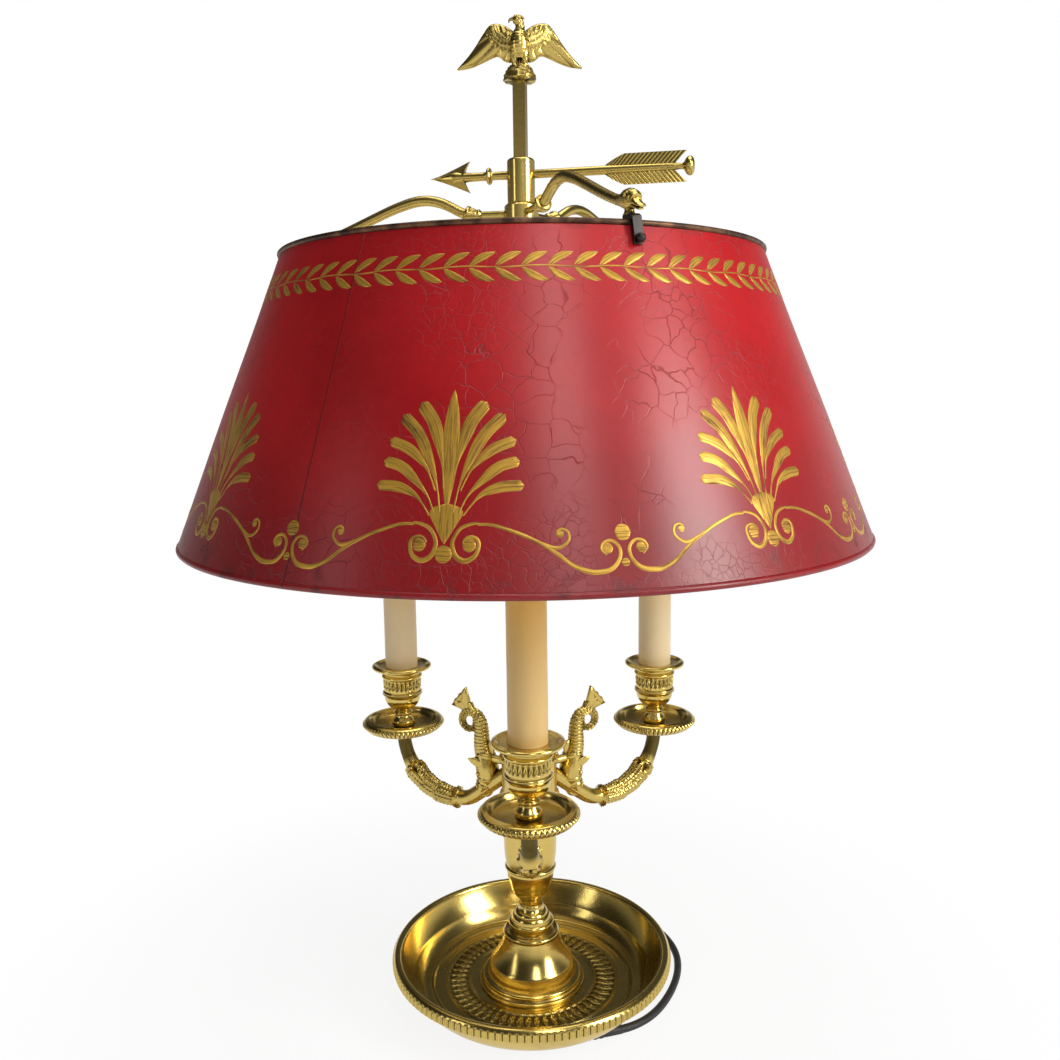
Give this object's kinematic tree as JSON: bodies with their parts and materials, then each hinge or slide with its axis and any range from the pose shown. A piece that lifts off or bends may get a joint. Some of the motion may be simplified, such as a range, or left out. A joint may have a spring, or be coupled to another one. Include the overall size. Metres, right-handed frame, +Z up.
{
  "type": "bouillotte lamp",
  "caption": "Table lamp with candle arms on a turned stem, a dished base and a tin shade that slides on a square rod and is clamped by an arrow.",
  "frame": {"origin": "centre of the felt under the base, on the table", "axes": "+Z up along the stem, -Y towards the front candle arm, +X to the viewer's right"},
  "size_m": [0.4179, 0.418, 0.6225],
  "materials": {
    "brass": "polished, darkened in the hollows",
    "felt": "felt",
    "iron": "rough cast",
    "rubber": "matt",
    "cord": "satin",
    "steel": "plain",
    "tole": "aged paint, crackled",
    "bronze": "dark patina",
    "ivory": "satin",
    "black": "matt",
    "bulb": "frosted"
  },
  "bodies": {
    "stand": {"base_dish": "brass", "base_felt": "felt", "base_weight": "iron", "cord_bush": "rubber", "stem_foot": "brass", "stem_knop": "brass", "stem_vase": "brass", "arm_hub": "brass", "hub_cap": "brass", "tie_pipe": "steel", "tie_nut": "steel", "shade_rod": "brass", "finial_eagle": "brass", "arm_nipples": "steel", "candle_arm_front": "brass", "candle_arm_right": "brass", "candle_arm_left": "brass", "drip_pan_front": "brass", "drip_pan_right": "brass", "drip_pan_left": "brass", "candle_cup_front": "brass", "candle_cup_right": "brass", "candle_cup_left": "brass", "candle_sleeve_front": "ivory", "candle_sleeve_right": "ivory", "candle_sleeve_left": "ivory", "lampholder_front": "black", "lampholder_right": "black", "lampholder_left": "black", "bulb_cap_front": "brass", "bulb_cap_right": "brass", "bulb_cap_left": "brass", "bulb_glass_front": "bulb", "bulb_glass_right": "bulb", "bulb_glass_left": "bulb", "dolphin_front": "brass", "dolphin_right": "brass", "dolphin_left": "brass", "cord_lead": "cord", "cord_coil": "cord", "cord_tail": "cord", "plug_body": "rubber", "plug_blades": "brass"},
    "carriage": {"slide_collar": "brass", "spider_hub": "brass", "spider_arm_1": "brass", "spider_arm_2": "brass", "spider_arm_3": "brass", "shade_cone": "tole", "shade_rim_top": "bronze", "shade_rim_bottom": "tole", "shade_clips": "bronze", "shade_screws": "bronze", "arrow_head": "brass"},
    "key": {"arrow_key": "brass"}
  },
  "joints": [
    {"name": "shade_lift", "type": "slide", "parent": "stand", "child": "carriage", "axis": [0, 0, 1], "range_m": [-0.08, 0.038]},
    {"name": "arrow_turn", "type": "hinge", "parent": "carriage", "child": "key", "pos_m": [0, 0, 0.532], "axis": [0.9816, -0.1908, 0], "range_deg": [0, 360]}
  ]
}
